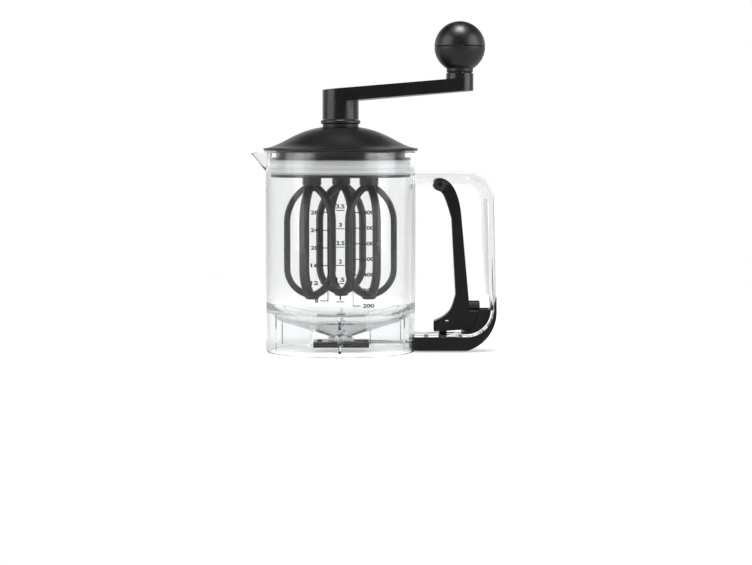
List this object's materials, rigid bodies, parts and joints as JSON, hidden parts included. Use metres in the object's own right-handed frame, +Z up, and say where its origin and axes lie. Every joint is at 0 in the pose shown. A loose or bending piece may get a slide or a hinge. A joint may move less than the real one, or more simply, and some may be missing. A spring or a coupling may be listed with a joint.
{
  "type": "batter dispenser",
  "caption": "Clear measuring jug with a pouring spout, a squeeze trigger that opens a drain valve in its base, and a plug lid whose crank turns geared balloon whisks.",
  "frame": {"origin": "on the jug's axis, in the plane of the ring that the jug stands on", "axes": "+Z up along the jug's axis, +X towards the handle, -X towards the spout, -Y towards the printed scale"},
  "size_m": [0.1806, 0.1136, 0.2416],
  "materials": {
    "clear_plastic": "clear moulded plastic, polished",
    "black_plastic": "satin",
    "lid_plastic": "satin",
    "trigger_plastic": "satin",
    "whisk_plastic": "satin",
    "silicone": "translucent, matt",
    "black_rubber": "matt",
    "steel": "brushed",
    "white_nylon": "matt"
  },
  "bodies": {
    "jug_body": {"jug": "clear_plastic", "jug_bowl": "clear_plastic", "handle": "clear_plastic", "foot_cover": "black_plastic", "foot_screws": "steel", "spring_housing": "black_plastic", "outlet_seal": "silicone", "gate_tray": "black_plastic", "tray_screws": "steel", "pivot_pin": "steel"},
    "lid": {"lid_dome": "lid_plastic", "lid_plug": "lid_plastic", "lid_gasket": "silicone", "lid_base": "lid_plastic", "lid_screws": "steel", "crank_collar": "lid_plastic"},
    "crank": {"crank_shaft": "steel", "sun_gear": "white_nylon", "thrust_washer": "steel", "crank_arm": "lid_plastic", "knob_axle": "steel"},
    "knob": {"knob_lower": "lid_plastic", "knob_upper": "lid_plastic"},
    "whisk_rear": {"planet_gear_1": "white_nylon", "whisk_1": "whisk_plastic"},
    "whisk_left": {"planet_gear_2": "white_nylon", "whisk_2": "whisk_plastic"},
    "whisk_right": {"planet_gear_3": "white_nylon", "whisk_3": "whisk_plastic"},
    "trigger": {"trigger": "trigger_plastic", "link_pin": "steel", "stop_bumper": "black_rubber", "return_spring": "steel"},
    "valve_slide": {"valve_gate": "black_plastic", "pull_rod": "steel", "slide_post": "black_plastic"}
  },
  "joints": [
    {"name": "lid_lift", "type": "slide", "parent": "jug_body", "child": "lid", "axis": [0, 0, 1], "range_m": [0, 0.13]},
    {"name": "crank_turn", "type": "hinge", "parent": "lid", "child": "crank", "pos_m": [0, 0, 0.1842], "axis": [0, 0, 1], "continuous": true},
    {"name": "knob_spin", "type": "hinge", "parent": "crank", "child": "knob", "pos_m": [0.08675, -0.01749, 0.2114], "axis": [0, 0, 1], "continuous": true},
    {"name": "whisk_rear_spin", "type": "hinge", "parent": "lid", "child": "whisk_rear", "pos_m": [0, 0.024, 0.131], "axis": [0, 0, 1], "continuous": true},
    {"name": "whisk_left_spin", "type": "hinge", "parent": "lid", "child": "whisk_left", "pos_m": [-0.02079, -0.012, 0.131], "axis": [0, 0, 1], "continuous": true},
    {"name": "whisk_right_spin", "type": "hinge", "parent": "lid", "child": "whisk_right", "pos_m": [0.02079, -0.012, 0.131], "axis": [0, 0, 1], "continuous": true},
    {"name": "trigger_squeeze", "type": "hinge", "parent": "jug_body", "child": "trigger", "pos_m": [0.0726, 0, 0.1233], "axis": [0, -1, 0], "range_deg": [0, 3.8], "stiffness_Nm_per_rad": 3, "springref_deg": -5.16, "deforming": ["return_spring"]},
    {"name": "gate_slide", "type": "slide", "parent": "jug_body", "child": "valve_slide", "axis": [1, 0, 0], "range_m": [0, 0.00694]}
  ],
  "couplings": [
    {"joint": "whisk_rear_spin", "follows": "crank_turn", "ratio": -3},
    {"joint": "whisk_left_spin", "follows": "crank_turn", "ratio": -3},
    {"joint": "whisk_right_spin", "follows": "crank_turn", "ratio": -3},
    {"joint": "gate_slide", "follows": "trigger_squeeze", "m_per_rad": 0.1044}
  ]
}
